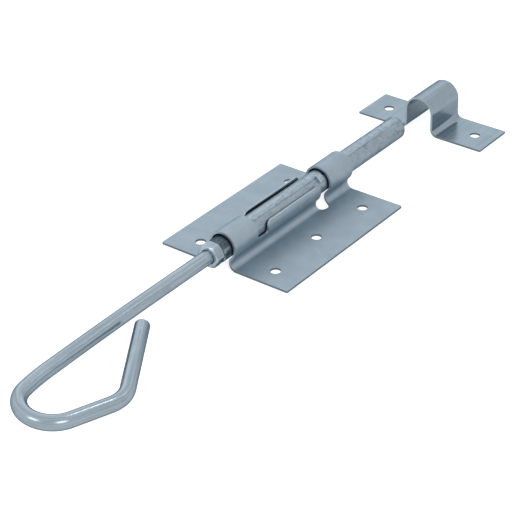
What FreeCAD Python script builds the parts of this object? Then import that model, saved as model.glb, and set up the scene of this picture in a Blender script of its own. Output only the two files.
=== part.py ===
import FreeCAD, Part
import math
import os
import Sketcher
from FreeCAD import Vector

# Sliding door bolt: a round bar in a folded sheet guide, turned and pushed by a looped rod, with a
# separate strap keeper. X runs along the bar towards its tip, Y across the plates, and Z = 0 is the
# face that is screwed to the door. The origin lies midway between the four corner screws.

doc = FreeCAD.newDocument("DoorBolt")
sizes = doc.addObject("Spreadsheet::Sheet", "Sizes")

drivingSizes = [
    ("sheetThickness", "1.5", "guide and keeper sheet"),
    ("bendRadius", "4.2", "bends from the flanges up, on the top side"),
    ("axisHeight", "16", "bar axis above the door"),
    ("barDiameter", "16", "round bar"),
    ("barLength", "203", "bar from the handle end to the tip"),
    ("barTipChamfer", "1.6", "around the tip"),
    ("barEndChamfer", "0.6", "around the handle end"),
    ("barStub", "7.2", "bar standing out of the guide behind"),
    ("barPlay", "0.9", "around the bar in the guide"),
    ("barSag", "0.3", "bar lying low in the guide"),
    ("plateLength", "128", "guide along the bar"),
    ("plateWidth", "100", "guide across the bar"),
    ("plateCorner", "0.8", "corner rounding of guide and keeper"),
    ("nearCollar", "23.8", "closed tunnel at the handle end"),
    ("nearSlot", "10.8", "locking slot beside the near collar"),
    ("wallLength", "57", "low front and rear wall between the slots"),
    ("farSlot", "11", "locking slot beside the far collar"),
    ("wallTop", "4.2", "top of the front low wall above the bar axis"),
    ("rearWallTop", "5.4", "top of the rear low wall above the bar axis"),
    ("wallNearRounding", "4.5", "corner of the low wall at the near slot"),
    ("wallFarRounding", "2.5", "corner of the low wall at the far slot"),
    ("nearSlotDrop", "3.4", "bottom of the near slot below the bar axis"),
    ("nearSlotRounding", "2", "bottom corners of the near slot"),
    ("farSlotDrop", "7.5", "bottom of the straight far slot below the axis"),
    ("farSlotReach", "11.4", "far slot's round end from the middle plane"),
    ("screwHole", "7", "screw holes"),
    ("screwRowX", "96", "corner screws along the bar"),
    ("screwRowY", "60", "corner screws across the bar"),
    ("middleRowY", "54", "middle screws across the bar"),
    ("nearOverhang", "15", "near edge to the first screws"),
    ("keeperGap", "27.2", "tip of the bar to the keeper"),
    ("keeperOffset", "1.2", "keeper lying off the bar's axis, to the front"),
    ("keeperLength", "35", "keeper along the bar"),
    ("keeperWidth", "102", "keeper across the bar"),
    ("keeperPlay", "1.8", "around the bar in the keeper"),
    ("keeperRowY", "72.5", "keeper screws across the bar"),
    ("rodDiameter", "9.5", "handle rod"),
    ("threadDepth", "14", "rod screwed into the bar"),
    ("threadRunout", "2", "bore left empty past the rod"),
    ("fitGap", "0.05", "radial gap between the rod, the bar, the nut and the lug"),
    ("nutFlats", "14.5", "lock nut across flats"),
    ("nutHeight", "7.6", "lock nut"),
    ("nutSeatGap", "0.1", "lock nut to the bar's end"),
    ("nutCountersink", "0.5", "lead-in of the nut's thread"),
    ("nutFace", "13.4", "flat ring at the nut's faces, across"),
    ("nutChamferAngle", "35", "slope of the nut's chamfered corners"),
    ("rodStraight", "126.2", "rod from the nut to where it starts to bend"),
    ("easeRadius", "255", "slight bow before the loop"),
    ("easeAngle", "9.3", "turn of the bow"),
    ("loopRadius", "19.4", "round end of the loop, on the centre line"),
    ("loopAngle", "151.5", "turn of the round end"),
    ("returnLength", "24.8", "straight side after the round end"),
    ("cornerRadius", "19.5", "bend back towards the rod"),
    ("cornerAngle", "51.7", "turn of that bend"),
    ("endLength", "60.2", "last straight side"),
    ("rodEndRounding", "0.8", "edge of the rod's cut end"),
    ("loopDroop", "4.2", "loop hangs this much below level"),
    ("lugWidth", "4.8", "stop lug along the bar"),
    ("lugHeight", "2", "stop lug above the bar"),
    ("lugSpan", "36.5", "stop lug around the bar"),
    ("lugSetting", "39.75", "middle of the lug, down from the top of the bar"),
    ("lugPlay", "3.7", "lug to the far collar"),
    ("lugRounding", "0.7", "edges of the lug"),
]
for row, (alias, number, meaning) in enumerate(drivingSizes, start=1):
    sizes.set("A%d" % row, meaning)
    sizes.set("B%d" % row, number)
    sizes.setAlias("B%d" % row, alias)
doc.recompute()

# Distances used in several places, worked out from the sizes above.
boreRadius = "(Sizes.barDiameter / 2 + Sizes.barPlay)"
barRadius = "(Sizes.barDiameter / 2)"
barAxisZ = "(Sizes.axisHeight - Sizes.barSag)"
nearEdgeX = "-(Sizes.nearOverhang + Sizes.screwRowX / 2)"
wallStart = "(Sizes.nearCollar + Sizes.nearSlot)"
wallEnd = "(Sizes.nearCollar + Sizes.nearSlot + Sizes.wallLength)"
farCollarStart = "(Sizes.nearCollar + Sizes.nearSlot + Sizes.wallLength + Sizes.farSlot)"
aboveTunnel = "(Sizes.axisHeight + Sizes.barDiameter)"
nutFaceX = "-(Sizes.barStub + Sizes.nutSeatGap + Sizes.nutHeight)"
keeperX = "(Sizes.barLength - Sizes.barStub + Sizes.keeperGap)"


def amount(expression):
    result = sizes.evalExpression(expression)
    return float(getattr(result, "Value", result))


def newBody(label):
    body = doc.addObject("PartDesign::Body", label)
    body.Label = label
    return body


def place(body, alongX="0", upZ="0"):
    body.setExpression("Placement.Base.x", nearEdgeX + " + " + alongX)
    body.setExpression("Placement.Base.z", upZ)


def newSketch(body, name, planeRole):
    sketch = body.newObject("Sketcher::SketchObject", name)
    plane = [item for item in body.Origin.OriginFeatures if item.Role == planeRole][0]
    sketch.AttachmentSupport = [(plane, "")]
    sketch.MapMode = "FlatFace"
    return sketch


def bind(sketch, kind, references, expression, name):
    number = amount(expression)
    index = sketch.addConstraint(Sketcher.Constraint(kind, *references, number))
    sketch.renameConstraint(index, name)
    sketch.setExpression("Constraints." + name, expression)


def relate(sketch, kind, *references):
    sketch.addConstraint(Sketcher.Constraint(kind, *references))


def line(sketch, start, end):
    return sketch.addGeometry(Part.LineSegment(Vector(*start, 0), Vector(*end, 0)), False)


def arc(sketch, centre, radius, fromAngle, toAngle):
    circle = Part.Circle(Vector(*centre, 0), Vector(0, 0, 1), radius)
    return sketch.addGeometry(Part.ArcOfCircle(circle, fromAngle, toAngle), False)


def bindPoint(sketch, geometry, point, across, up, name):
    if across == "0":
        relate(sketch, "PointOnObject", geometry, point, -2)
    else:
        bind(sketch, "DistanceX", (-1, 1, geometry, point), across, name + "Across")
    if up == "0":
        relate(sketch, "PointOnObject", geometry, point, -1)
    else:
        bind(sketch, "DistanceY", (-1, 1, geometry, point), up, name + "Up")


def polygon(sketch, corners, name):
    points = [(amount(across), amount(up)) for across, up in corners]
    count = len(points)
    edges = [line(sketch, points[i], points[(i + 1) % count]) for i in range(count)]
    for i, edge in enumerate(edges):
        relate(sketch, "Coincident", edge, 2, edges[(i + 1) % count], 1)
        bindPoint(sketch, edge, 1, corners[i][0], corners[i][1], "%s%d" % (name, i))


def circles(sketch, centres, radius):
    for i, (across, up) in enumerate(centres):
        middle = Vector(amount(across), amount(up), 0)
        ring = Part.Circle(middle, Vector(0, 0, 1), amount(radius))
        index = sketch.addGeometry(ring, False)
        bindPoint(sketch, index, 3, across, up, "centre%d" % i)
        bind(sketch, "Radius", (index,), radius, "radius%d" % i)


def pad(body, name, sketch, length):
    feature = body.newObject("PartDesign::Pad", name)
    feature.Profile = sketch
    feature.setExpression("Length", length)
    sketch.Visibility = False
    return feature


def cutThrough(body, name, sketch, length, sides="Symmetric"):
    """Cut to both sides of the sketch, or to its front, checked by the volume it takes away."""
    doc.recompute()
    before = body.Shape.Volume
    feature = body.newObject("PartDesign::Pocket", name)
    feature.Profile = sketch
    feature.SideType = sides
    feature.Reversed = sides == "One side"
    feature.setExpression("Length", length)
    doc.recompute()
    if not body.Shape.Volume < before - 1:
        raise RuntimeError(name + " cuts nothing")
    return feature


def revolve(body, kind, name, sketch, angle="360"):
    feature = body.newObject(kind, name)
    feature.Profile = sketch
    feature.ReferenceAxis = (sketch, ["H_Axis"])
    feature.Midplane = True
    feature.setExpression("Angle", angle)
    return feature


def mirrorAcross(body, feature, planeRole):
    mirrored = body.newObject("PartDesign::Mirrored", feature.Name + "BothSides")
    plane = [item for item in body.Origin.OriginFeatures if item.Role == planeRole][0]
    mirrored.Originals = [feature]
    mirrored.MirrorPlane = (plane, [""])
    body.Tip = mirrored
    doc.recompute()
    return mirrored


def roundEdges(body, name, feature, chosen, radius):
    doc.recompute()
    edges = ["Edge%d" % (i + 1) for i, edge in enumerate(feature.Shape.Edges) if chosen(edge)]
    fillet = body.newObject("PartDesign::Fillet", name)
    fillet.Base = (feature, edges)
    fillet.setExpression("Radius", radius)
    doc.recompute()
    return fillet


def isUpright(edge):
    if not isinstance(edge.Curve, Part.Line):
        return False
    return abs(edge.Curve.Direction.z) > 0.99


def uprightCorners(length, width):
    """The outer corner edges of a plate that starts at X = 0 and is centred across."""
    def chosen(edge):
        middle = edge.CenterOfMass
        atEnd = min(abs(middle.x), abs(middle.x - length)) < 0.01
        atSide = abs(abs(middle.y) - width / 2) < 0.01
        return isUpright(edge) and atEnd and atSide
    return chosen


def crossEdges(alongX, upZ):
    """The edges that run across the sheet at one corner of the window."""
    def chosen(edge):
        if not isinstance(edge.Curve, Part.Line) or abs(edge.Curve.Direction.y) < 0.99:
            return False
        middle = edge.CenterOfMass
        return abs(middle.x - alongX) < 0.01 and abs(middle.z - upZ) < 0.01
    return chosen


def omegaHalf(sketch):
    """Half section of the guide: flange, bend with a narrow neck, and tunnel around the bar."""
    thickness = amount("Sizes.sheetThickness")
    top = amount("Sizes.axisHeight")
    inner = amount(boreRadius)
    bend = amount("Sizes.bendRadius")
    half = amount("Sizes.plateWidth / 2")
    under = bend + thickness
    bendCentre = (math.sqrt((inner + under) ** 2 - (top - under) ** 2), under)
    slope = math.atan2(under - top, bendCentre[0])
    bottom = line(sketch, (half, 0), (bendCentre[0], 0))
    underBend = arc(sketch, bendCentre, under, slope + math.pi, 1.5 * math.pi)
    tunnelIn = arc(sketch, (0, top), inner, slope, math.pi / 2)
    crown = line(sketch, (0, top + inner), (0, top + inner + thickness))
    tunnelOut = arc(sketch, (0, top), inner + thickness, slope, math.pi / 2)
    topBend = arc(sketch, bendCentre, bend, slope + math.pi, 1.5 * math.pi)
    topFlange = line(sketch, (bendCentre[0], thickness), (half, thickness))
    edge = line(sketch, (half, thickness), (half, 0))
    relate(sketch, "Tangent", bottom, 2, underBend, 2)
    relate(sketch, "Tangent", underBend, 1, tunnelIn, 1)
    relate(sketch, "Coincident", tunnelIn, 2, crown, 1)
    relate(sketch, "Coincident", crown, 2, tunnelOut, 2)
    relate(sketch, "Tangent", tunnelOut, 1, topBend, 1)
    relate(sketch, "Tangent", topBend, 2, topFlange, 1)
    relate(sketch, "Coincident", topFlange, 2, edge, 1)
    relate(sketch, "Coincident", edge, 2, bottom, 1)
    relate(sketch, "PointOnObject", bottom, 1, -1)
    relate(sketch, "Horizontal", bottom)
    relate(sketch, "Horizontal", topFlange)
    relate(sketch, "Vertical", edge)
    relate(sketch, "PointOnObject", crown, 1, -2)
    relate(sketch, "PointOnObject", crown, 2, -2)
    relate(sketch, "Coincident", tunnelIn, 3, tunnelOut, 3)
    relate(sketch, "PointOnObject", tunnelIn, 3, -2)
    bind(sketch, "DistanceY", (-1, 1, tunnelIn, 3), "Sizes.axisHeight", "axis")
    bind(sketch, "DistanceX", (-1, 1, bottom, 1), "Sizes.plateWidth / 2", "half")
    bind(sketch, "DistanceY", (-1, 1, topFlange, 2), "Sizes.sheetThickness", "thickness")
    bind(sketch, "Radius", (tunnelIn,), boreRadius, "tunnelInside")
    bind(sketch, "Radius", (tunnelOut,), boreRadius + " + Sizes.sheetThickness", "tunnelOutside")
    bind(sketch, "Radius", (underBend,), "Sizes.bendRadius + Sizes.sheetThickness", "bendUnder")
    bind(sketch, "Radius", (topBend,), "Sizes.bendRadius", "bendTop")


def strapHalf(sketch):
    """Half section of the keeper: wing, bend, upright wall and round arch."""
    inside = barRadius + " + Sizes.keeperPlay"
    thickness = amount("Sizes.sheetThickness")
    top = amount("Sizes.axisHeight")
    inner = amount(inside)
    bend = amount("Sizes.bendRadius")
    half = amount("Sizes.keeperWidth / 2")
    under = bend + thickness
    outer = inner + thickness
    bendCentre = (outer + bend, under)
    bottom = line(sketch, (half, 0), (bendCentre[0], 0))
    underBend = arc(sketch, bendCentre, under, math.pi, 1.5 * math.pi)
    innerWall = line(sketch, (inner, under), (inner, top))
    archIn = arc(sketch, (0, top), inner, 0, math.pi / 2)
    crown = line(sketch, (0, top + inner), (0, top + outer))
    archOut = arc(sketch, (0, top), outer, 0, math.pi / 2)
    outerWall = line(sketch, (outer, top), (outer, under))
    topBend = arc(sketch, bendCentre, bend, math.pi, 1.5 * math.pi)
    topWing = line(sketch, (bendCentre[0], thickness), (half, thickness))
    edge = line(sketch, (half, thickness), (half, 0))
    relate(sketch, "Tangent", bottom, 2, underBend, 2)
    relate(sketch, "Tangent", underBend, 1, innerWall, 1)
    relate(sketch, "Tangent", innerWall, 2, archIn, 1)
    relate(sketch, "Coincident", archIn, 2, crown, 1)
    relate(sketch, "Coincident", crown, 2, archOut, 2)
    relate(sketch, "Tangent", archOut, 1, outerWall, 1)
    relate(sketch, "Tangent", outerWall, 2, topBend, 1)
    relate(sketch, "Tangent", topBend, 2, topWing, 1)
    relate(sketch, "Coincident", topWing, 2, edge, 1)
    relate(sketch, "Coincident", edge, 2, bottom, 1)
    relate(sketch, "PointOnObject", bottom, 1, -1)
    relate(sketch, "Horizontal", bottom)
    relate(sketch, "Horizontal", topWing)
    relate(sketch, "Vertical", edge)
    relate(sketch, "Vertical", innerWall)
    relate(sketch, "Vertical", outerWall)
    relate(sketch, "PointOnObject", crown, 1, -2)
    relate(sketch, "PointOnObject", crown, 2, -2)
    relate(sketch, "Coincident", archIn, 3, archOut, 3)
    relate(sketch, "PointOnObject", archIn, 3, -2)
    bind(sketch, "DistanceY", (-1, 1, archIn, 3), "Sizes.axisHeight", "axis")
    bind(sketch, "DistanceX", (-1, 1, bottom, 1), "Sizes.keeperWidth / 2", "half")
    bind(sketch, "DistanceY", (-1, 1, topWing, 2), "Sizes.sheetThickness", "thickness")
    bind(sketch, "Radius", (archIn,), inside, "archInside")
    bind(sketch, "Radius", (archOut,), inside + " + Sizes.sheetThickness", "archOutside")
    bind(sketch, "Radius", (underBend,), "Sizes.bendRadius + Sizes.sheetThickness", "bendUnder")
    bind(sketch, "Radius", (topBend,), "Sizes.bendRadius", "bendTop")


def guidePlate():
    body = newBody("guide_plate")
    place(body)
    section = newSketch(body, "GuideSection", "YZ_Plane")
    omegaHalf(section)
    half = pad(body, "GuideHalf", section, "Sizes.plateLength")
    whole = mirrorAcross(body, half, "XZ_Plane")
    length, width = amount("Sizes.plateLength"), amount("Sizes.plateWidth")
    roundEdges(body, "GuideCorners", whole, uprightCorners(length, width), "Sizes.plateCorner")

    # The window over the bar, with a locking slot at each end of the two low walls.
    window = newSketch(body, "WindowSide", "XZ_Plane")
    nearSlotFloor = "Sizes.axisHeight - Sizes.nearSlotDrop"
    farSlotFloor = "Sizes.axisHeight - Sizes.farSlotDrop"
    wallEdge = "Sizes.axisHeight + Sizes.wallTop"
    rearWallEdge = "Sizes.axisHeight + Sizes.rearWallTop"
    polygon(window, [
        ("Sizes.nearCollar", aboveTunnel),
        ("Sizes.nearCollar", nearSlotFloor),
        (wallStart, nearSlotFloor),
        (wallStart, rearWallEdge),
        (wallEnd, rearWallEdge),
        (wallEnd, farSlotFloor),
        (farCollarStart, farSlotFloor),
        (farCollarStart, aboveTunnel),
    ], "corner")
    opened = cutThrough(body, "Window", window, "Sizes.plateWidth")
    trim = newSketch(body, "FrontWallSide", "XZ_Plane")
    polygon(trim, [
        (wallStart, wallEdge),
        (wallEnd, wallEdge),
        (wallEnd, aboveTunnel),
        (wallStart, aboveTunnel),
    ], "corner")
    opened = cutThrough(body, "FrontWall", trim, "Sizes.plateWidth / 2", "One side")
    roundings = [
        ("NearSlotLeft", "Sizes.nearCollar", nearSlotFloor, "Sizes.nearSlotRounding"),
        ("NearSlotRight", wallStart, nearSlotFloor, "Sizes.nearSlotRounding"),
        ("WallNear", wallStart, wallEdge, "Sizes.wallNearRounding"),
        ("WallFar", wallEnd, wallEdge, "Sizes.wallFarRounding"),
        ("RearWallNear", wallStart, rearWallEdge, "Sizes.wallNearRounding"),
        ("RearWallFar", wallEnd, rearWallEdge, "Sizes.wallFarRounding"),
    ]
    for name, alongX, upZ, radius in roundings:
        opened = roundEdges(body, name, opened, crossEdges(amount(alongX), amount(upZ)), radius)

    # The far slot runs on down through the bend into the flange and ends round.
    slot = newSketch(body, "FarSlotPlan", "XY_Plane")
    slotEnd = "(Sizes.farSlotReach - Sizes.farSlot / 2)"
    polygon(slot, [
        (farCollarStart, slotEnd),
        (wallEnd, slotEnd),
        (wallEnd, "-" + slotEnd),
        (farCollarStart, "-" + slotEnd),
    ], "corner")
    cutThrough(body, "FarSlot", slot, "2 * " + aboveTunnel)
    ends = newSketch(body, "FarSlotEndPlan", "XY_Plane")
    middleOfSlot = wallEnd + " + Sizes.farSlot / 2"
    circles(ends, [(middleOfSlot, side + slotEnd) for side in ("", "-")], "Sizes.farSlot / 2")
    cutThrough(body, "FarSlotEnds", ends, "2 * Sizes.axisHeight")

    holes = newSketch(body, "GuideScrewPlan", "XY_Plane")
    firstX = "Sizes.nearOverhang"
    middleX = "Sizes.nearOverhang + Sizes.screwRowX / 2"
    lastX = "Sizes.nearOverhang + Sizes.screwRowX"
    rows = [(firstX, "Sizes.screwRowY"), (middleX, "Sizes.middleRowY"), (lastX, "Sizes.screwRowY")]
    centres = [(across, side + row + " / 2") for across, row in rows for side in ("", "-")]
    circles(holes, centres, "Sizes.screwHole / 2")
    cutThrough(body, "GuideScrews", holes, "4 * Sizes.sheetThickness")
    return body


def keeper():
    body = newBody("keeper")
    place(body, keeperX)
    body.setExpression("Placement.Base.y", "-Sizes.keeperOffset")
    section = newSketch(body, "KeeperSection", "YZ_Plane")
    strapHalf(section)
    half = pad(body, "KeeperHalf", section, "Sizes.keeperLength")
    whole = mirrorAcross(body, half, "XZ_Plane")
    length, width = amount("Sizes.keeperLength"), amount("Sizes.keeperWidth")
    roundEdges(body, "KeeperCorners", whole, uprightCorners(length, width), "Sizes.plateCorner")
    holes = newSketch(body, "KeeperScrewPlan", "XY_Plane")
    centres = [("Sizes.keeperLength / 2", side + "Sizes.keeperRowY / 2") for side in ("", "-")]
    circles(holes, centres, "Sizes.screwHole / 2")
    cutThrough(body, "KeeperScrews", holes, "4 * Sizes.sheetThickness")
    return body


def boltBar():
    """Round bar with a chamfered tip and a blind thread bore for the handle rod."""
    body = newBody("bolt_bar")
    place(body, "-Sizes.barStub", barAxisZ)
    boreWall = "Sizes.rodDiameter / 2 + Sizes.fitGap"
    boreEnd = "Sizes.threadDepth + Sizes.threadRunout"
    drillTip = boreEnd + " + (" + boreWall + ") / 2"
    profile = newSketch(body, "BarProfile", "XZ_Plane")
    polygon(profile, [
        ("0", boreWall),
        ("0", barRadius + " - Sizes.barEndChamfer"),
        ("Sizes.barEndChamfer", barRadius),
        ("Sizes.barLength - Sizes.barTipChamfer", barRadius),
        ("Sizes.barLength", barRadius + " - Sizes.barTipChamfer"),
        ("Sizes.barLength", "0"),
        (drillTip, "0"),
        (boreEnd, boreWall),
    ], "corner")
    revolve(body, "PartDesign::Revolution", "Bar", profile)
    return body


def lockNut():
    """Hexagon nut with chamfered corners, two of them level with the bar's axis."""
    body = newBody("lock_nut")
    place(body, nutFaceX, barAxisZ)
    corner = "Sizes.nutFlats / 2 / cos(30 deg)"
    hexagon = newSketch(body, "NutHexagon", "YZ_Plane")
    polygon(hexagon, [
        (corner, "0"),
        (corner + " / 2", "Sizes.nutFlats / 2"),
        ("-" + corner + " / 2", "Sizes.nutFlats / 2"),
        ("-" + corner, "0"),
        ("-" + corner + " / 2", "-Sizes.nutFlats / 2"),
        (corner + " / 2", "-Sizes.nutFlats / 2"),
    ], "corner")
    pad(body, "NutBlank", hexagon, "Sizes.nutHeight")

    bore = newSketch(body, "NutBorePlan", "YZ_Plane")
    circles(bore, [("0", "0")], "Sizes.rodDiameter / 2 + Sizes.fitGap")
    cutThrough(body, "NutBore", bore, "4 * Sizes.nutHeight")

    # The corners and the mouths of the bore are turned off at a slope at both faces.
    outside = "Sizes.barDiameter"
    faceEdge = "Sizes.nutFace / 2"
    depth = "(" + outside + " - " + faceEdge + ") * tan(Sizes.nutChamferAngle * 1 deg)"
    boreWall = "Sizes.rodDiameter / 2"
    sink = "Sizes.nutCountersink"
    faces = [("near", "0", ""), ("far", "Sizes.nutHeight", "-")]
    for name, face, inward in faces:
        start = "" if face == "0" else face
        corners = newSketch(body, name + "CornerCut", "XZ_Plane")
        polygon(corners, [
            (face, faceEdge),
            (face, outside),
            (start + (inward or ("" if face == "0" else "+")) + depth, outside),
        ], "corner")
        revolve(body, "PartDesign::Groove", name + "Corners", corners)
        mouth = newSketch(body, name + "MouthCut", "XZ_Plane")
        polygon(mouth, [
            (face, boreWall),
            (face, boreWall + " + " + sink),
            (start + (inward or "") + sink, boreWall),
        ], "mouth")
        revolve(body, "PartDesign::Groove", name + "Mouth", mouth)
    return body


def handleRod():
    """Round rod: straight through the nut, then bent back on itself into an open loop."""
    body = newBody("handle_rod")
    place(body, "-Sizes.barStub", barAxisZ)
    route = newSketch(body, "RodRoute", "XY_Plane")
    straight = "(Sizes.threadDepth + Sizes.nutSeatGap + Sizes.nutHeight + Sizes.rodStraight)"
    across, up, heading = "(Sizes.threadDepth - %s)" % straight, "0", "180"
    bends = [
        ("Sizes.easeRadius", "Sizes.easeAngle"),
        ("Sizes.loopRadius", "Sizes.loopAngle"),
        ("Sizes.returnLength", ""),
        ("Sizes.cornerRadius", "Sizes.cornerAngle"),
        ("Sizes.endLength", ""),
    ]
    previous = line(route, (amount("Sizes.threadDepth"), 0), (amount(across), 0))
    bindPoint(route, previous, 1, "Sizes.threadDepth", "0", "start")
    bindPoint(route, previous, 2, across, "0", "bendStart")
    for i, (extent, turn) in enumerate(bends):
        before = (amount(across), amount(up))
        if turn:
            centreX = "(%s - %s * sin(%s * 1 deg))" % (across, extent, heading)
            centreY = "(%s + %s * cos(%s * 1 deg))" % (up, extent, heading)
            fromAngle = math.radians(amount(heading)) - math.pi / 2
            toAngle = fromAngle + math.radians(amount(turn))
            heading = "(%s + %s)" % (heading, turn)
            across = "(%s + %s * sin(%s * 1 deg))" % (centreX, extent, heading)
            up = "(%s - %s * cos(%s * 1 deg))" % (centreY, extent, heading)
            centre = (amount(centreX), amount(centreY))
            index = arc(route, centre, amount(extent), fromAngle, toAngle)
            bind(route, "Radius", (index,), extent, "radius%d" % i)
        else:
            across = "(%s + %s * cos(%s * 1 deg))" % (across, extent, heading)
            up = "(%s + %s * sin(%s * 1 deg))" % (up, extent, heading)
            index = line(route, before, (amount(across), amount(up)))
        relate(route, "Coincident", previous, 2, index, 1)
        bindPoint(route, index, 2, across, up, "joint%d" % i)
        previous = index

    section = newSketch(body, "RodSection", "YZ_Plane")
    section.setExpression("AttachmentOffset.Base.z", "Sizes.threadDepth")
    circles(section, [("0", "0")], "Sizes.rodDiameter / 2")
    doc.recompute()
    rod = body.newObject("PartDesign::AdditivePipe", "Rod")
    rod.Profile = section
    rod.Spine = (route, ["Edge%d" % (i + 1) for i in range(len(bends) + 1)])
    doc.recompute()
    tip = Vector(amount(across), amount(up), 0)

    def atTip(edge):
        return isinstance(edge.Curve, Part.Circle) and (edge.CenterOfMass - tip).Length < 0.1
    roundEdges(body, "RodEnd", rod, atTip, "Sizes.rodEndRounding")
    body.setExpression("Placement.Rotation.Axis.x", "1")
    body.setExpression("Placement.Rotation.Axis.z", "0")
    body.setExpression("Placement.Rotation.Angle", "Sizes.loopDroop * 1 deg")
    return body


def stopLug():
    """Curved lug seated on the bar, running in the window and stopping at both collars."""
    body = newBody("stop_lug")
    farSide = farCollarStart + " - Sizes.lugPlay"
    place(body, farSide + " - Sizes.lugWidth", barAxisZ)
    seat = barRadius + " + Sizes.fitGap"
    crown = seat + " + Sizes.lugHeight"
    profile = newSketch(body, "LugProfile", "XZ_Plane")
    polygon(profile, [
        ("0", seat),
        ("Sizes.lugWidth", seat),
        ("Sizes.lugWidth", crown),
        ("0", crown),
    ], "corner")
    block = revolve(body, "PartDesign::Revolution", "Lug", profile, "Sizes.lugSpan * 1 deg")
    crownRadius = amount(crown)

    def onCrown(edge):
        middle = edge.valueAt((edge.FirstParameter + edge.LastParameter) / 2)
        return abs(math.hypot(middle.y, middle.z) - crownRadius) < 0.01
    roundEdges(body, "LugEdges", block, onCrown, "Sizes.lugRounding")
    body.setExpression("Placement.Rotation.Axis.x", "1")
    body.setExpression("Placement.Rotation.Axis.z", "0")
    body.setExpression("Placement.Rotation.Angle", "Sizes.lugSetting * 1 deg")
    return body


parts = [guidePlate(), boltBar(), stopLug(), lockNut(), handleRod(), keeper()]
doc.recompute()

for item in doc.Objects:
    if "Invalid" in item.State or "Error" in item.State:
        raise RuntimeError("%s failed: %s" % (item.Label, item.State))
os.makedirs("parts", exist_ok=True)
for body in parts:
    shape = body.Shape
    if shape.isNull() or not shape.isValid() or len(shape.Solids) != 1:
        raise RuntimeError(body.Label + " is not one valid solid")
    shape.exportStep(os.path.join("parts", body.Label + ".step"))
    box = shape.BoundBox
    limits = (box.XMin, box.XMax, box.YMin, box.YMax, box.ZMin, box.ZMax)
    print(body.Label, "volume %.0f" % shape.Volume, ["%.1f" % value for value in limits])
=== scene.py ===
import math
import bmesh
import bpy
from mathutils import Matrix, Vector


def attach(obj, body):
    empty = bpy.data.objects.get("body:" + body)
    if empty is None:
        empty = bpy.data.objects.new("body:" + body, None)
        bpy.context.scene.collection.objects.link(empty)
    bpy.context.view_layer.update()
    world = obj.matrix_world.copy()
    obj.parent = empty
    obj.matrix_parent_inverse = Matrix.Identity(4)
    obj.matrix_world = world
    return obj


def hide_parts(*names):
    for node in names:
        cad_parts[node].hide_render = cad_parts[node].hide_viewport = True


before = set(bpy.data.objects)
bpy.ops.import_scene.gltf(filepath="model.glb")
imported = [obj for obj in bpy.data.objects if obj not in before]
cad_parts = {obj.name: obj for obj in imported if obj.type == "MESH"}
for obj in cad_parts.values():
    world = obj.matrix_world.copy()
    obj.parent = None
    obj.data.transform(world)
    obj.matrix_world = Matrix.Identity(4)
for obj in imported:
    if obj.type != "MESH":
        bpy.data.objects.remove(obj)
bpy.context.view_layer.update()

scene = bpy.context.scene
mm = 0.001
boltAxis = 15.7 * mm


# Materials: zinc-plated steel with a blue cast, each with its own grain and marks, and some with
# painted highlight, reflection and shade.

grain = {
    "streaks": {"detail": 5.0, "roughness": 0.6}, "clouds": {"detail": 3.0, "roughness": 0.5},
    "specks": {"detail": 6.0, "roughness": 0.7}, "patches": {"detail": 2.0, "roughness": 0.5},
    "reflectionEdge": {"detail": 3.0, "roughness": 0.55}, "shadeBlotches": {"detail": 1.0, "roughness": 0.55},
}
bands = {  # the part of each noise over which its mask goes from none to full
    "streaks": (0.32, 0.68), "clouds": (0.35, 0.65), "gloss": (0.3, 0.7),
    "specks": (0.52, 0.60), "patches": (0.36, 0.60), "shadeBlotches": (0.52, 0.62),
}


def addNode(tree, kind, **settings):
    node = tree.nodes.new(kind)
    for key, value in settings.items():
        setattr(node, key, value)
    return node


def noise(tree, vector, scale, detail, roughness):
    node = addNode(tree, "ShaderNodeTexNoise")
    node.inputs["Scale"].default_value = scale
    node.inputs["Detail"].default_value = detail
    node.inputs["Roughness"].default_value = roughness
    tree.links.new(vector, node.inputs["Vector"])
    return node.outputs["Fac"]


def stretched(tree, source, factors):
    node = addNode(tree, "ShaderNodeMapping")
    node.inputs["Scale"].default_value = factors
    tree.links.new(source, node.inputs["Vector"])
    return node.outputs["Vector"]


def ramp(tree, value, low, high, fromValue=0.0, toValue=1.0):
    node = addNode(tree, "ShaderNodeMapRange", clamp=True)
    node.inputs["From Min"].default_value = low
    node.inputs["From Max"].default_value = high
    node.inputs["To Min"].default_value = fromValue
    node.inputs["To Max"].default_value = toValue
    tree.links.new(value, node.inputs["Value"])
    return node.outputs["Result"]


def mixColour(tree, factor, first, second, blend="MIX"):
    node = addNode(tree, "ShaderNodeMix", data_type="RGBA", blend_type=blend)
    sockets = (node.inputs[0], node.inputs[6], node.inputs[7])  # factor, and the two colours
    for socket, value in zip(sockets, (factor, first, second)):
        if isinstance(value, (float, int)):
            socket.default_value = value
        elif isinstance(value, tuple):
            socket.default_value = value + (1.0,)
        else:
            tree.links.new(value, socket)
    return node.outputs[2]


def combine(tree, operation, first, second):
    node = addNode(tree, "ShaderNodeMath", operation=operation)
    for socket, value in zip(node.inputs, (first, second)):
        if isinstance(value, (float, int)):
            socket.default_value = value
        else:
            tree.links.new(value, socket)
    return node.outputs[0]
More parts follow.
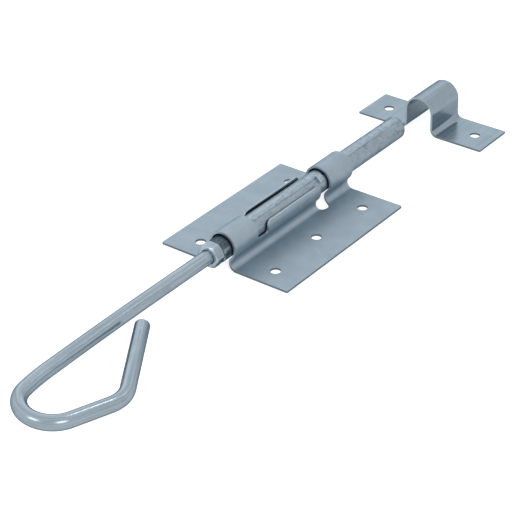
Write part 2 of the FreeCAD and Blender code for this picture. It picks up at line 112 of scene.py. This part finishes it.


# A dark line painted along the bar as the edge of a reflection, with the bar painted lighter above
# it as a painted highlight and darker below it as painted shade, and the stub behind the guide
# painted dark in blotches as painted shade and reflection of the tunnel.
def paintedReflectionAndStubShade(tree, source, colour, look):
    place = addNode(tree, "ShaderNodeSeparateXYZ")
    tree.links.new(source, place.inputs["Vector"])
    across, height = place.outputs["Y"], combine(tree, "SUBTRACT", place.outputs["Z"], boltAxis)
    angle = math.radians(look["reflectionEdgeAngle"])
    above = combine(
        tree, "ADD", combine(tree, "MULTIPLY", across, math.sin(angle)),
        combine(tree, "MULTIPLY", height, math.cos(angle)),
    )
    waves = noise(tree, source, look["reflectionEdgeWaves"], **grain["reflectionEdge"])
    wander = combine(tree, "MULTIPLY", waves, look["reflectionEdgeWander"])
    fromReflectionEdge = combine(tree, "ADD", above, wander)
    lit = ramp(tree, fromReflectionEdge, 0.0, look["reflectionEdgeWidth"])
    # Painted highlight above the reflection edge and painted shade below it.
    sides = mixColour(tree, lit, look["below"], look["above"])
    colour = mixColour(tree, 1.0, colour, sides, "MULTIPLY")
    away = combine(tree, "ABSOLUTE", fromReflectionEdge, 0.0)
    beside = ramp(tree, away, look["reflectionLineCore"], look["reflectionEdgeWidth"] * 2)
    # A dark line painted along the reflection edge.
    reflectionLine = mixColour(tree, beside, look["reflectionLineColour"], (1, 1, 1))
    colour = mixColour(tree, 1.0, colour, reflectionLine, "MULTIPLY")
    # The stub between nut and guide is darkened in blotches as painted shade and painted reflection
    # of the tunnel.
    stub = ramp(tree, place.outputs["X"], look["stubStart"], look["stubStart"] - look["stubFade"])
    stubShadeNoise = stretched(tree, source, look["stubStretch"])
    stubShadeNoise = noise(tree, stubShadeNoise, look["stubScale"], **grain["shadeBlotches"])
    shadeBlotches = ramp(tree, stubShadeNoise, *bands["shadeBlotches"])
    stubShadeColour = mixColour(tree, shadeBlotches, look["stubShadeDark"], look["stubShadeLight"])
    return mixColour(tree, stub, colour, mixColour(tree, 1.0, colour, stubShadeColour, "MULTIPLY"))


# Cut edges are painted dark as painted shade where the sheet lies flat, and painted bright as a
# painted highlight further up.
def edgeShadeAndHighlight(tree, source, colour, look):
    place = addNode(tree, "ShaderNodeSeparateXYZ")
    tree.links.new(source, place.inputs["Vector"])
    rise = ramp(tree, place.outputs["Z"], look["shadeTop"], look["highlightFrom"])
    return mixColour(tree, rise, look["foot"], colour)


def zincMaterial(name, look):
    material = bpy.data.materials.new(name)
    material.use_nodes = True
    tree = material.node_tree
    tree.nodes.clear()
    output = addNode(tree, "ShaderNodeOutputMaterial")
    shader = addNode(tree, "ShaderNodeBsdfPrincipled")
    tree.links.new(shader.outputs["BSDF"], output.inputs["Surface"])
    shader.inputs["Metallic"].default_value = look["metallic"]
    shader.inputs["Specular Tint"].default_value = look["rim"] + (1.0,)
    if look["along"]:
        uv = addNode(tree, "ShaderNodeUVMap", uv_map=look["along"])
        source = uv.outputs["UV"]
    else:
        source = addNode(tree, "ShaderNodeTexCoord").outputs["Object"]

    # Long streaks of the drawn or rolled stock, and soft clouds of the plating.
    drawn = stretched(tree, source, look["streakStretch"])
    streaks = noise(tree, drawn, look["streakScale"], **grain["streaks"])
    clouds = noise(tree, source, look["cloudScale"], **grain["clouds"])
    streakMask = ramp(tree, streaks, *bands["streaks"])
    cloudMask = ramp(tree, clouds, *bands["clouds"])
    base = mixColour(tree, streakMask, look["dark"], look["light"])
    cloudTint = mixColour(tree, cloudMask, look["cloudLow"], look["cloudHigh"])
    colour = mixColour(tree, 1.0, base, cloudTint, "MULTIPLY")
    roughness = ramp(tree, streaks, *bands["gloss"], look["roughLow"], look["roughHigh"])

    # Dark specks: pits and scuffs that the plating hasn't covered.
    height = ramp(tree, streaks, 0.0, 1.0, 0.0, look["streakHeight"])
    if look["specks"]:
        scattered = stretched(tree, source, look["speckStretch"])
        specks = noise(tree, scattered, look["speckScale"], **grain["specks"])
        patches = noise(tree, source, look["speckScale"] * look["patchShare"], **grain["patches"])
        speckMask = ramp(tree, specks, *bands["specks"])
        where = ramp(tree, patches, *bands["patches"])
        speckMask = combine(tree, "MULTIPLY", speckMask, where)
        speckMask = combine(tree, "MULTIPLY", speckMask, look["specks"])
        colour = mixColour(tree, speckMask, colour, look["speckColour"])
        height = combine(tree, "SUBTRACT", height, speckMask)
    # The bar's painted reflection edge, highlight and shade, and the stub's painted shade.
    if look.get("reflectionEdgeAngle"):
        colour = paintedReflectionAndStubShade(tree, source, colour, look)
    # Cut edges: painted shade near the floor, painted highlight higher up.
    if look.get("foot"):
        colour = edgeShadeAndHighlight(tree, source, colour, look)
    tree.links.new(colour, shader.inputs["Base Color"])
    tree.links.new(roughness, shader.inputs["Roughness"])
    bump = addNode(tree, "ShaderNodeBump")
    bump.inputs["Strength"].default_value = look["bump"]
    bump.inputs["Distance"].default_value = look["bumpDepth"]
    tree.links.new(height, bump.inputs["Height"])
    tree.links.new(bump.outputs["Normal"], shader.inputs["Normal"])
    return material


sheetLook = {
    "along": "", "metallic": 0.82, "rim": (0.22, 0.27, 0.32),
    "dark": (0.415, 0.510, 0.586), "light": (0.458, 0.558, 0.636),
    "cloudLow": (0.91, 0.915, 0.92), "cloudHigh": (1.0, 1.0, 1.0),
    "streakStretch": (0.30, 1.0, 1.0), "streakScale": 600.0, "cloudScale": 90.0,
    "roughLow": 0.42, "roughHigh": 0.48, "streakHeight": 0.5,
    "specks": 0.0, "bump": 0.10, "bumpDepth": 0.04 * mm,
}
# Cut edges are painted lighter than the sheet as a painted highlight, and dark near the floor as
# painted shade.
cutEdgeLightAndShadeLook = dict(
    sheetLook, dark=(0.450, 0.545, 0.620), light=(0.515, 0.610, 0.685), cloudScale=200.0,
    foot=(0.215, 0.268, 0.318), shadeTop=1.6 * mm, highlightFrom=5 * mm,
)
# The tunnel's inner side is painted dark as painted shade.
tunnelShadeLook = dict(
    sheetLook, dark=(0.085, 0.120, 0.155), light=(0.120, 0.162, 0.205),
    roughLow=0.50, roughHigh=0.55,
)
# The bar's rounded tip is painted dark as painted shade.
tipShadeLook = dict(sheetLook, dark=(0.190, 0.240, 0.290), light=(0.260, 0.320, 0.375))
barLook = dict(
    sheetLook, metallic=1.0, dark=(0.405, 0.495, 0.565), light=(0.505, 0.605, 0.680),
    cloudLow=(0.88, 0.89, 0.90), cloudScale=200.0,
    streakStretch=(0.22, 1.0, 1.0), streakScale=620.0,
    roughLow=0.30, roughHigh=0.42, bump=0.35, bumpDepth=0.10 * mm,
    specks=0.60, speckStretch=(0.40, 1.0, 1.0), speckScale=680.0, speckColour=(0.165, 0.212, 0.258),
    patchShare=0.22,
    # Painted reflection edge on the bar, with painted highlight above it and painted shade below
    # it.
    reflectionEdgeAngle=62, reflectionEdgeWaves=60.0, reflectionEdgeWander=0.4 * mm, reflectionLineCore=0.1 * mm, reflectionEdgeWidth=0.25 * mm,
    reflectionLineColour=(0.66, 0.68, 0.70), above=(1.05, 1.05, 1.05), below=(0.95, 0.95, 0.95),
    # Painted shade and reflection of the tunnel, in blotches on the stub.
    stubStart=-62.8 * mm, stubFade=0.8 * mm, stubStretch=(0.3, 1.0, 1.0), stubScale=230.0,
    stubShadeDark=(0.30, 0.32, 0.34), stubShadeLight=(0.80, 0.82, 0.84),
)
rodLook = dict(
    sheetLook, metallic=0.95, along="alongRod",
    dark=(0.365, 0.452, 0.520), light=(0.515, 0.612, 0.686),
    streakStretch=(0.012, 1.0, 1.0), streakScale=1000.0, cloudScale=30.0,
    roughLow=0.18, roughHigh=0.25, bump=0.10, bumpDepth=0.06 * mm,
    specks=0.35, speckStretch=(0.05, 1.0, 1.0), speckScale=700.0, speckColour=(0.20, 0.25, 0.30),
    patchShare=0.22,
)
nutLook = dict(
    sheetLook, metallic=1.0, dark=(0.37, 0.45, 0.52), light=(0.46, 0.55, 0.62),
    roughLow=0.26, roughHigh=0.36, streakStretch=(1.0, 1.0, 1.0), streakScale=250.0,
    cloudScale=160.0, bump=0.0,
)
# The nut's face and chamfer are painted lighter than its flats as a painted highlight.
nutFaceHighlightLook = dict(
    nutLook, dark=(0.50, 0.59, 0.66), light=(0.60, 0.69, 0.76), roughLow=0.28, roughHigh=0.34,
)
# The lug is painted lighter than the bar as a painted highlight.
lugHighlightLook = dict(
    barLook, dark=(0.46, 0.56, 0.63), light=(0.60, 0.69, 0.76), specks=0.3, cloudScale=400.0,
    reflectionEdgeAngle=0,
)
keeperLook = dict(
    sheetLook, metallic=0.88, dark=(0.350, 0.430, 0.495), light=(0.425, 0.514, 0.584),
    streakStretch=(0.03, 1.0, 1.0), streakScale=420.0, cloudLow=(0.92, 0.93, 0.94),
    cloudScale=60.0, roughLow=0.23, roughHigh=0.30, bump=0.05,
)
zinc = {
    name: zincMaterial(name, look)
    for name, look in (
        ("guideZinc", sheetLook), ("barZinc", barLook), ("rodZinc", rodLook),
        ("nutZinc", nutLook), ("lugHighlightZinc", lugHighlightLook), ("keeperZinc", keeperLook),
        ("cutEdgeLightAndShadeZinc", cutEdgeLightAndShadeLook), ("nutFaceHighlightZinc", nutFaceHighlightLook), ("tunnelShadeZinc", tunnelShadeLook),
        ("tipShadeZinc", tipShadeLook),
    )
}
print("materials made")


# Pieces: copies of the solids' sheets, nut and lug with softened edges, and a new bar and rod.

merging = {"distance": 1e-6, "flatWithin": 0.4}  # doubled corners in metres, flat faces in degrees


def smoothByAngle(mesh, degrees):
    for polygon in mesh.polygons:
        polygon.use_smooth = True
    mesh.set_sharp_from_angle(angle=math.radians(degrees))


# Large faces set the shading, so that a flat sheet stays flat beside its softened edges.
def bakeNormals(piece):
    modifier = piece.modifiers.new("weighted", "WEIGHTED_NORMAL")
    modifier.keep_sharp = True
    modifier.weight = 100
    graph = bpy.context.evaluated_depsgraph_get()
    baked = bpy.data.meshes.new_from_object(piece.evaluated_get(graph))
    piece.modifiers.clear()
    piece.data = baked


def finishPiece(bm, name, nodeName, body, materials, sizes):
    mesh = bpy.data.meshes.new(name)
    bm.normal_update()
    bm.to_mesh(mesh)
    bm.free()
    for material in materials:
        mesh.materials.append(material)
    smoothByAngle(mesh, sizes["smoothAngle"])
    piece = bpy.data.objects.new(name, mesh)
    scene.collection.objects.link(piece)
    if sizes["weighted"]:
        bakeNormals(piece)
    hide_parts(nodeName)
    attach(piece, body)


# A copy of the node's solid with its doubled corners merged and its flat faces whole.
def cleanCopy(nodeName):
    bm = bmesh.new()
    bm.from_mesh(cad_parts[nodeName].data)
    bmesh.ops.remove_doubles(bm, verts=bm.verts, dist=merging["distance"])
    bmesh.ops.dissolve_limit(
        bm, angle_limit=math.radians(merging["flatWithin"]), use_dissolve_boundaries=False,
        verts=bm.verts, edges=bm.edges, delimit={"NORMAL"},
    )
    return bm


def softenEdges(bm, sizes):
    limit = math.radians(sizes["sharperThan"])
    edges = [
        edge for edge in bm.edges
        if len(edge.link_faces) == 2 and edge.calc_face_angle() > limit
    ]
    bmesh.ops.bevel(
        bm, geom=edges, offset=sizes["edge"], offset_type="OFFSET", affect="EDGES",
        segments=sizes["edgeSteps"], profile=0.5, material=-1, clamp_overlap=True,
    )


wall = {
    "near": -29.6 * mm, "far": 27.8 * mm, "foot": 12.8 * mm, "top": 21.4 * mm,
    "lean": 1.25 * mm, "curve": 1.4,
}


# The free wall behind the bar stands out a little at its upper edge.
def leanRearWall(bm):
    for vertex in bm.verts:
        place = vertex.co
        if place.y > 0 and wall["near"] < place.x < wall["far"] and place.z > wall["foot"]:
            rise = (place.z - wall["foot"]) / (wall["top"] - wall["foot"])
            place.y += wall["lean"] * min(1.0, rise) ** wall["curve"]


cut = {  # how far a face may lean and still count as square, and where the sheet's edges lie
    "square": 0.05, "level": 0.01, "flangeTop": 1.4 * mm, "wallFoot": 2 * mm, "wallTop": 23 * mm,
}


# Sheared and punched faces of a bent sheet take its second material.
def markCutEdges(bm):
    for face in bm.faces:
        normal, middle = face.normal, face.calc_center_median()
        ends = abs(normal.x) > cut["square"]
        rims = abs(normal.z) < cut["square"] and middle.z < cut["flangeTop"]
        isLevel = abs(normal.x) < cut["square"] and abs(normal.y) < cut["level"]
        tops = isLevel and cut["wallFoot"] < middle.z < cut["wallTop"]
        if ends or rims or tops:
            face.material_index = 1


tunnel = {"axis": 16 * mm, "foot": 8 * mm, "reach": 9.6 * mm, "facing": 0.8}


# The tunnel's inner side takes the third material: a little duller, and painted dark as painted
# shade.
def markTunnelShade(bm):
    axis = Vector((0, 0, tunnel["axis"]))
    for face in bm.faces:
        middle = face.calc_center_median()
        inward = axis - Vector((0, middle.y, middle.z))
        isNear = middle.z > tunnel["foot"] and inward.length < tunnel["reach"]
        if isNear and face.normal.dot(inward) > tunnel["facing"] * inward.length:
            face.material_index = 2


guide = {"edge": 0.22 * mm, "sharperThan": 40, "edgeSteps": 2, "smoothAngle": 40, "weighted": True}


def makeGuide():
    bm = cleanCopy("guide_plate")
    bm.normal_update()
    markCutEdges(bm)
    markTunnelShade(bm)
    leanRearWall(bm)
    softenEdges(bm, guide)
    materials = (zinc["guideZinc"], zinc["cutEdgeLightAndShadeZinc"], zinc["tunnelShadeZinc"])
    finishPiece(bm, "guidePlate", "guide_plate", "guide", materials, guide)


keeper = {"edge": 0.22 * mm, "sharperThan": 40, "edgeSteps": 2, "smoothAngle": 40, "weighted": True}


def makeKeeper():
    bm = cleanCopy("keeper")
    bm.normal_update()
    markCutEdges(bm)
    softenEdges(bm, keeper)
    materials = (zinc["keeperZinc"], zinc["cutEdgeLightAndShadeZinc"])
    finishPiece(bm, "keeperStrap", "keeper", "guide", materials, keeper)


nut = {
    "edge": 0.35 * mm, "sharperThan": 24, "edgeSteps": 3, "smoothAngle": 40, "weighted": True,
    "faceLean": 0.3,
}


def makeNut():
    bm = cleanCopy("lock_nut")
    bm.normal_update()
    for face in bm.faces:
        # The face and chamfer take the lighter material, a painted highlight.
        if face.normal.x < -nut["faceLean"]:  # the face and chamfer towards the handle
            face.material_index = 1
    softenEdges(bm, nut)
    materials = (zinc["nutZinc"], zinc["nutFaceHighlightZinc"])
    finishPiece(bm, "lockNut", "lock_nut", "handle", materials, nut)


lug = {"edge": 0.3 * mm, "sharperThan": 40, "edgeSteps": 2, "smoothAngle": 40, "weighted": True}


def makeLug():
    bm = cleanCopy("stop_lug")
    softenEdges(bm, lug)
    finishPiece(bm, "stopLug", "stop_lug", "handle", (zinc["lugHighlightZinc"],), lug)


makeGuide()
makeKeeper()
print("guide and keeper made")
makeNut()
makeLug()
print("nut and lug made")

bar = {
    "nearX": -70.2 * mm, "length": 203 * mm, "radius": 8 * mm, "bore": 4.8 * mm,
    "nearChamfer": 0.6 * mm, "tipRounding": 1.5 * mm, "roundingSteps": 6, "rings": 60, "sides": 128,
    "poleMerge": 1e-7, "smoothAngle": 30, "weighted": False,  # the merge closes seam and tip
}


# Points along the bar and out from its axis, from the rod's bore to the tip.
def barProfile():
    radius, chamfer, rounding = bar["radius"], bar["nearChamfer"], bar["tipRounding"]
    points = [(0.0, bar["bore"]), (0.0, radius - chamfer), (chamfer, radius)]
    straight = bar["length"] - rounding
    for i in range(1, bar["rings"]):
        points.append((chamfer + (straight - chamfer) * i / bar["rings"], radius))
    for i in range(bar["roundingSteps"] + 1):
        turn = math.pi / 2 * i / bar["roundingSteps"]
        inward = rounding * (1 - math.cos(turn))
        points.append((straight + rounding * math.sin(turn), radius - inward))
    points.append((bar["length"], 0.0))
    return points


def makeBar():
    bm = bmesh.new()
    previous = None
    for along, out in barProfile():
        vertex = bm.verts.new((bar["nearX"] + along, 0, boltAxis + out))
        if previous:
            bm.edges.new((previous, vertex))
        previous = vertex
    bmesh.ops.spin(
        bm, geom=bm.verts[:] + bm.edges[:], cent=(0, 0, boltAxis), axis=(1, 0, 0),
        angle=math.tau, steps=bar["sides"], use_merge=True, use_duplicate=False,
    )
    bmesh.ops.remove_doubles(bm, verts=bm.verts, dist=bar["poleMerge"])
    bmesh.ops.recalc_face_normals(bm, faces=bm.faces)
    tipStart = bar["nearX"] + bar["length"] - bar["tipRounding"]
    # The rounded tip takes the darker material, painted shade.
    for face in bm.faces:
        if face.calc_center_median().x > tipStart:
            face.material_index = 1
    materials = (zinc["barZinc"], zinc["tipShadeZinc"])
    finishPiece(bm, "boltBar", "bolt_bar", "bolt", materials, bar)


makeBar()
print("bar made")

rod = {
    "startX": -56.2 * mm, "radius": 4.75 * mm, "sides": 56, "droop": 4.2,
    "runs": (  # a length and 0 for a straight side, a radius and degrees for a bend
        (69.8 * mm, 0), (3480 * mm, 1.63), (152 * mm, 7.67), (19.4 * mm, 151.5),
        (24.8 * mm, 0), (19.5 * mm, 51.7), (59.4 * mm, 0),
    ),
    "bendStep": 1.2 * mm, "leastSteps": 2, "endRounding": 0.8 * mm, "roundingSteps": 5,
    "smoothAngle": 30, "weighted": False,
}


# One more ring on the tube's open end: its corners, and the edges to go on from.
def growTube(bm, edges):
    grown = bmesh.ops.extrude_edge_only(bm, edges=edges)["geom"]
    ring = [part for part in grown if isinstance(part, bmesh.types.BMVert)]
    front = [part for part in grown if isinstance(part, bmesh.types.BMEdge) and part.is_boundary]
    return ring, front


# The UV map runs along the rod and around it, and its seam lies underneath.
def unrollTube(bm, along, around, girth, radius):
    uvLayer = bm.loops.layers.uv.new("alongRod")
    for face in bm.faces:
        isEnd = len(face.verts) > 4  # the tube's sides are all quads
        turns = [loop.vert[around] for loop in face.loops]
        overSeam = max(turns) - min(turns) > girth / 2
        for loop, turn in zip(face.loops, turns):
            distance = loop.vert[along]
            if isEnd:
                angle = turn / radius
                loop[uvLayer].uv = (distance + radius * math.cos(angle), radius * math.sin(angle))
            elif overSeam and turn < girth / 2:
                loop[uvLayer].uv = (distance, turn + girth)
            else:
                loop[uvLayer].uv = (distance, turn)


def makeRod():
    bm = bmesh.new()
    along = bm.verts.layers.float.new("along")
    around = bm.verts.layers.float.new("around")
    radius, sides = rod["radius"], rod["sides"]
    girth = math.tau * radius
    ring = bmesh.ops.create_circle(bm, cap_ends=True, radius=radius, segments=sides)["verts"]
    bmesh.ops.rotate(bm, verts=ring, cent=(0, 0, 0), matrix=Matrix.Rotation(math.pi / 2, 3, "Y"))
    for vertex in ring:
        step = round(math.atan2(vertex.co.y, -vertex.co.z) / math.tau * sides) % sides
        vertex[around] = step * girth / sides
    front = bm.edges[:]

    # Straight sides are drawn out in one pull, bends in short turns about their middle.
    middle, heading, distance = Vector((0, 0, 0)), math.pi, 0.0
    for extent, turn in rod["runs"]:
        angle = math.radians(turn)
        length = extent * angle if turn else extent
        steps = max(rod["leastSteps"], round(length / rod["bendStep"])) if turn else 1
        for i in range(steps):
            ring, front = growTube(bm, front)
            if turn:
                centre = middle + Vector((-math.sin(heading), math.cos(heading), 0)) * extent
                turned = Matrix.Rotation(angle / steps, 3, "Z")
                bmesh.ops.rotate(bm, verts=ring, cent=centre, matrix=turned)
                middle = centre + turned @ (middle - centre)
                heading += angle / steps
            else:
                pull = Vector((math.cos(heading), math.sin(heading), 0)) * length
                bmesh.ops.translate(bm, verts=ring, vec=pull)
                middle = middle + pull
            distance += length / steps
            for vertex in ring:
                vertex[along] = distance

    # The cut end is rounded over in rings that shrink as they go on.
    forward = Vector((math.cos(heading), math.sin(heading), 0))
    rounding, width = rod["endRounding"], radius
    reached = 0.0
    for i in range(1, rod["roundingSteps"] + 1):
        turn = math.pi / 2 * i / rod["roundingSteps"]
        ring, front = growTube(bm, front)
        pull = rounding * math.sin(turn) - reached
        reached += pull
        bmesh.ops.translate(bm, verts=ring, vec=forward * pull)
        middle = middle + forward * pull
        shrunk = (radius - rounding * (1 - math.cos(turn))) / width
        width *= shrunk
        about = Matrix.Translation(-middle)
        bmesh.ops.scale(bm, verts=ring, vec=(shrunk, shrunk, shrunk), space=about)
        for vertex in ring:
            vertex[along] = distance + reached
    bmesh.ops.edgeloop_fill(bm, edges=front)

    unrollTube(bm, along, around, girth, radius)
    tilt = Matrix.Rotation(math.radians(rod["droop"]), 4, "X")
    seated = Matrix.Translation((rod["startX"], 0, boltAxis)) @ tilt
    bmesh.ops.transform(bm, verts=bm.verts, matrix=seated)
    bmesh.ops.recalc_face_normals(bm, faces=bm.faces)
    finishPiece(bm, "handleRod", "handle_rod", "handle", (zinc["rodZinc"],), rod)


makeRod()
print("rod made")


# Camera, as solved from the photo.

view = {
    "location": (-811.4 * mm, -607.9 * mm, 607.8 * mm),
    "azimuth": -52.208, "elevation": 31.917, "roll": -1.151, "lens": 126.75, "sensor": 36.0,
    "nearest": 0.01, "farthest": 20.0,
}


def makeCamera():
    azimuth, elevation, roll = (math.radians(view[key]) for key in ("azimuth", "elevation", "roll"))
    back = Vector((
        math.sin(azimuth) * math.cos(elevation),
        -math.cos(azimuth) * math.cos(elevation),
        math.sin(elevation),
    ))
    right = (-back).cross(Vector((0, 0, 1))).normalized()
    up = back.cross(right)
    turnedRight = right * math.cos(roll) + up * math.sin(roll)
    turnedUp = up * math.cos(roll) - right * math.sin(roll)
    data = bpy.data.cameras.new("photoCamera")
    data.sensor_width = view["sensor"]
    data.lens = view["lens"]
    data.clip_start, data.clip_end = view["nearest"], view["farthest"]
    camera = bpy.data.objects.new("photoCamera", data)
    turn = Matrix((turnedRight, turnedUp, back)).transposed().to_4x4()
    camera.matrix_world = Matrix.Translation(view["location"]) @ turn
    scene.collection.objects.link(camera)
    scene.camera = camera


makeCamera()


# Light: a wide soft light behind, two smaller ones in front, two tiny weak ones that only draw
# a glint on the rod, and a pale surround.

lamps = {  # place, the point it faces, size across and up, power
    "backLight": ((1.05, 1.05, 0.62), (0, 0, 0), (1.6, 1.0), 1.7),
    "leftLight": ((-1.20, 0.23, 0.87), (-0.2, 0, 0), (0.50, 0.50), 1.35),
    "frontLight": ((-0.71, -0.99, 0.78), (-0.2, 0, 0), (0.50, 0.50), 1.35),
    "armGlint": ((0.33, -0.03, 1.23), (-0.2, 0, 0), (0.14, 0.14), 0.36),
    "shaftGlint": ((0.64, -0.40, 0.93), (-0.2, 0, 0), (0.12, 0.12), 0.08),
}


def softLight(name, location, target, size, energy):
    data = bpy.data.lights.new(name, "AREA")
    data.shape = "RECTANGLE"
    data.size, data.size_y = size
    data.energy = energy
    light = bpy.data.objects.new(name, data)
    light.location = location
    light.rotation_mode = "QUATERNION"
    light.rotation_quaternion = (Vector(target) - Vector(location)).to_track_quat("-Z", "Y")
    scene.collection.objects.link(light)


for name, values in lamps.items():
    softLight(name, *values)
print("camera and lamps made")

surround = {
    "ambient": 0.70, "seen": 1.0, "nearSide": 0.72, "farSide": 0.84,
    "nearEnd": -0.25, "farEnd": 0.55,
}


# A pale room: white to the eye, a little darker on the near side in reflections.
def makeWorld():
    world = bpy.data.worlds.new("surround")
    scene.world = world
    world.use_nodes = True
    tree = world.node_tree
    tree.nodes.clear()
    output = addNode(tree, "ShaderNodeOutputWorld")
    direction = addNode(tree, "ShaderNodeSeparateXYZ")
    around = addNode(tree, "ShaderNodeTexCoord").outputs["Generated"]
    tree.links.new(around, direction.inputs["Vector"])
    reflected = ramp(
        tree, direction.outputs["Y"], surround["nearEnd"], surround["farEnd"],
        surround["nearSide"], surround["farSide"],
    )
    path = addNode(tree, "ShaderNodeLightPath")
    levels = {"Diffuse": surround["ambient"], "Reflected": reflected, "Seen": surround["seen"]}
    shaders = {}
    for name, level in levels.items():
        shaders[name] = addNode(tree, "ShaderNodeBackground")
        if isinstance(level, float):
            shaders[name].inputs["Strength"].default_value = level
        else:
            tree.links.new(level, shaders[name].inputs["Strength"])
        shaders[name].inputs["Color"].default_value = (1, 1, 1, 1)
    byGloss = addNode(tree, "ShaderNodeMixShader")
    gloss = combine(
        tree, "MAXIMUM", path.outputs["Is Glossy Ray"], path.outputs["Is Transmission Ray"],
    )
    tree.links.new(gloss, byGloss.inputs["Fac"])
    tree.links.new(shaders["Diffuse"].outputs[0], byGloss.inputs[1])
    tree.links.new(shaders["Reflected"].outputs[0], byGloss.inputs[2])
    byCamera = addNode(tree, "ShaderNodeMixShader")
    tree.links.new(path.outputs["Is Camera Ray"], byCamera.inputs["Fac"])
    tree.links.new(byGloss.outputs[0], byCamera.inputs[1])
    tree.links.new(shaders["Seen"].outputs[0], byCamera.inputs[2])
    tree.links.new(byCamera.outputs[0], output.inputs["Surface"])


makeWorld()

floorLook = {
    "grey": (0.80, 0.80, 0.80), "seen": 0.80, "reflected": 0.16,
    "size": 12.0, "height": -0.3 * mm,
}


# A floor that the camera sees white, with only the soft shadow drawn on it.
def makeFloor():
    material = bpy.data.materials.new("floorWhite")
    material.use_nodes = True
    tree = material.node_tree
    tree.nodes.clear()
    output = addNode(tree, "ShaderNodeOutputMaterial")
    lit = addNode(tree, "ShaderNodeBsdfDiffuse")
    lit.inputs["Color"].default_value = floorLook["grey"] + (1.0,)
    glow = addNode(tree, "ShaderNodeEmission")
    path = addNode(tree, "ShaderNodeLightPath")
    seen = combine(tree, "MULTIPLY", path.outputs["Is Camera Ray"], floorLook["seen"])
    gloss = combine(
        tree, "MAXIMUM", path.outputs["Is Glossy Ray"], path.outputs["Is Transmission Ray"],
    )
    shown = combine(tree, "ADD", seen, combine(tree, "MULTIPLY", gloss, floorLook["reflected"]))
    tree.links.new(shown, glow.inputs["Strength"])
    both = addNode(tree, "ShaderNodeAddShader")
    tree.links.new(lit.outputs["BSDF"], both.inputs[0])
    tree.links.new(glow.outputs["Emission"], both.inputs[1])
    tree.links.new(both.outputs["Shader"], output.inputs["Surface"])
    bpy.ops.mesh.primitive_plane_add(size=floorLook["size"], location=(0, 0, floorLook["height"]))
    floor = bpy.context.object
    floor.name = "floor"
    floor.data.materials.append(material)


makeFloor()
scene.view_settings.view_transform = "Standard"
print("surround and floor made")
